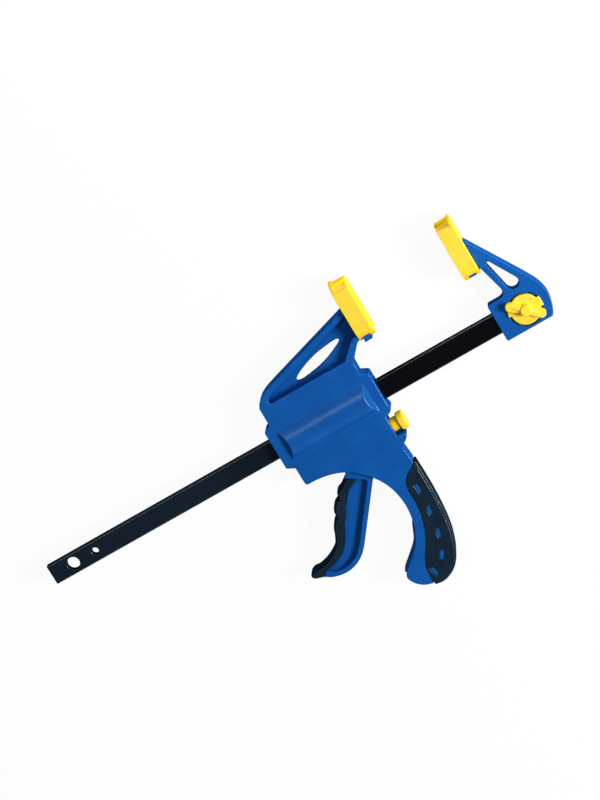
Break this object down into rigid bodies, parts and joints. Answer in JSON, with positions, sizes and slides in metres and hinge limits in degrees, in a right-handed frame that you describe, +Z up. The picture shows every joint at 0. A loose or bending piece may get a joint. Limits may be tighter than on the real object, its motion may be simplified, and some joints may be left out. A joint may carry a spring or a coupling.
{
  "type": "quick release bar clamp",
  "caption": "One-handed bar clamp: a trigger walks the sliding jaw along a flat bar, a button frees it, and a winged knob pins the removable fixed jaw.",
  "frame": {"origin": "on the plane the clamp lies on, under the middle of the whole clamp", "axes": "+X along the bar from its free end towards the fixed jaw, +Y from the bar towards the tips of the jaws, +Z up through the clamp's thickness"},
  "size_m": [0.3062, 0.17, 0.021],
  "materials": {
    "bar_steel": "black oxide, satin",
    "jaw_plastic": "fine grained blue glass-filled plastic",
    "pad_plastic": "satin yellow plastic",
    "grip_rubber": "matte moulded rubber",
    "steel": "bright steel"
  },
  "bodies": {
    "bar_and_fixed_jaw": {"bar": "bar_steel", "fixed_jaw": "jaw_plastic", "fixed_pad": "pad_plastic"},
    "moving_jaw": {"housing_front": "jaw_plastic", "housing_back": "jaw_plastic", "housing_screws": "steel", "handle_grip": "grip_rubber", "moving_pad": "pad_plastic", "trigger_pin": "steel", "drive_spring": "steel", "brake_spring": "steel"},
    "trigger_lever": {"trigger": "jaw_plastic", "trigger_grip": "grip_rubber"},
    "drive_plates": {"drive_plate_front": "steel", "drive_plate_rear": "steel"},
    "brake": {"brake_plate": "steel"},
    "button": {"release_button": "pad_plastic"},
    "jaw_lock": {"lock_knob": "pad_plastic", "lock_pin": "steel", "lock_clip": "steel"}
  },
  "joints": [
    {"name": "jaw_slide", "type": "slide", "parent": "bar_and_fixed_jaw", "child": "moving_jaw", "axis": [1, 0, 0], "range_m": [-0.109, 0.0538]},
    {"name": "trigger_pivot", "type": "hinge", "parent": "moving_jaw", "child": "trigger_lever", "pos_m": [0.02645, -0.002, 0.0105], "axis": [0, 0, 1], "range_deg": [0, 24], "stiffness_Nm_per_rad": 0.6},
    {"name": "drive_plates_push", "type": "slide", "parent": "moving_jaw", "child": "drive_plates", "axis": [1, 0, 0], "range_m": [-0.006, 0], "deforming": ["drive_spring"]},
    {"name": "button_press", "type": "slide", "parent": "moving_jaw", "child": "button", "axis": [-1, 0, 0], "range_m": [0, 0.0031], "stiffness_N_per_m": 1500},
    {"name": "brake_tilt", "type": "hinge", "parent": "moving_jaw", "child": "brake", "pos_m": [0.0367, 0.0318, 0.0105], "axis": [0, 0, 1], "range_deg": [-6, 0], "deforming": ["brake_spring"]},
    {"name": "lock_knob_turn", "type": "hinge", "parent": "bar_and_fixed_jaw", "child": "jaw_lock", "pos_m": [0.13875, 0.022, 0.0105], "axis": [0, 0, 1], "range_deg": [0, 90]}
  ],
  "couplings": [
    {"joint": "drive_plates_push", "follows": "trigger_pivot", "m_per_rad": -0.0143},
    {"joint": "brake_tilt", "follows": "button_press", "rad_per_m": -33.7}
  ]
}
